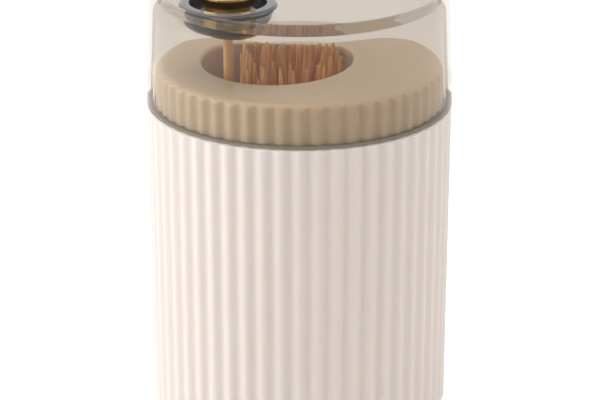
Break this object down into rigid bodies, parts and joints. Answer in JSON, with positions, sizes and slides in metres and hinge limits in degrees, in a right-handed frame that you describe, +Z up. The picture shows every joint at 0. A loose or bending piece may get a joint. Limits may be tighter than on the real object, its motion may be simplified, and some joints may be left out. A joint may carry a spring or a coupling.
{
  "type": "toothpick dispenser",
  "caption": "Round fluted cup with a clear cover; a sprung gold ball on the cover reaches down and brings up one toothpick.",
  "frame": {"origin": "middle of the resting face, under the middle of the cup", "axes": "+Z up, -Y towards the front, +X to the right seen from the front"},
  "size_m": [0.063, 0.063, 0.1112],
  "materials": {
    "cream_plastic": "satin gloss cream moulding",
    "clear_cover": "clear gloss moulding with a faint warm tint",
    "smoked_plastic": "dark smoky gloss, lets a little light through",
    "smoked_trim": "dark gloss",
    "gold_plating": "mirror gold plating",
    "steel": "bright wire and turned steel",
    "white_plastic": "plain moulding",
    "silicone_foot": "soft matt",
    "silicone_gasket": "soft matt",
    "silicone_grip": "soft translucent brown",
    "wood": "fine-grained plain wood"
  },
  "bodies": {
    "housing": {"body_shell": "cream_plastic", "base_plate": "cream_plastic", "base_screws": "steel", "foot_ring": "silicone_foot", "plinth_deck": "cream_plastic", "toothpick_cup": "cream_plastic", "seam_gasket": "silicone_gasket", "toothpick_bundle": "wood"},
    "cover": {"cover_shell": "clear_cover", "turret_pod": "smoked_plastic", "spring_washer": "steel", "return_spring": "steel"},
    "button": {"gold_ball": "gold_plating", "button_core": "white_plastic", "picker_tube": "steel", "stop_collar": "smoked_trim", "gripper_sleeve": "silicone_grip"},
    "toothpick": {"picked_toothpick": "wood"}
  },
  "joints": [
    {"name": "cover_lift", "type": "slide", "parent": "housing", "child": "cover", "axis": [0, 0, 1], "range_m": [0, 0.045]},
    {"name": "button_press", "type": "slide", "parent": "cover", "child": "button", "axis": [0, 0, -1], "range_m": [0, 0.003], "stiffness_N_per_m": 300, "springref_m": -0.004, "deforming": ["return_spring"]},
    {"name": "toothpick_draw", "type": "slide", "parent": "button", "child": "toothpick", "axis": [0, 0, 1], "range_m": [0, 0.07]}
  ]
}
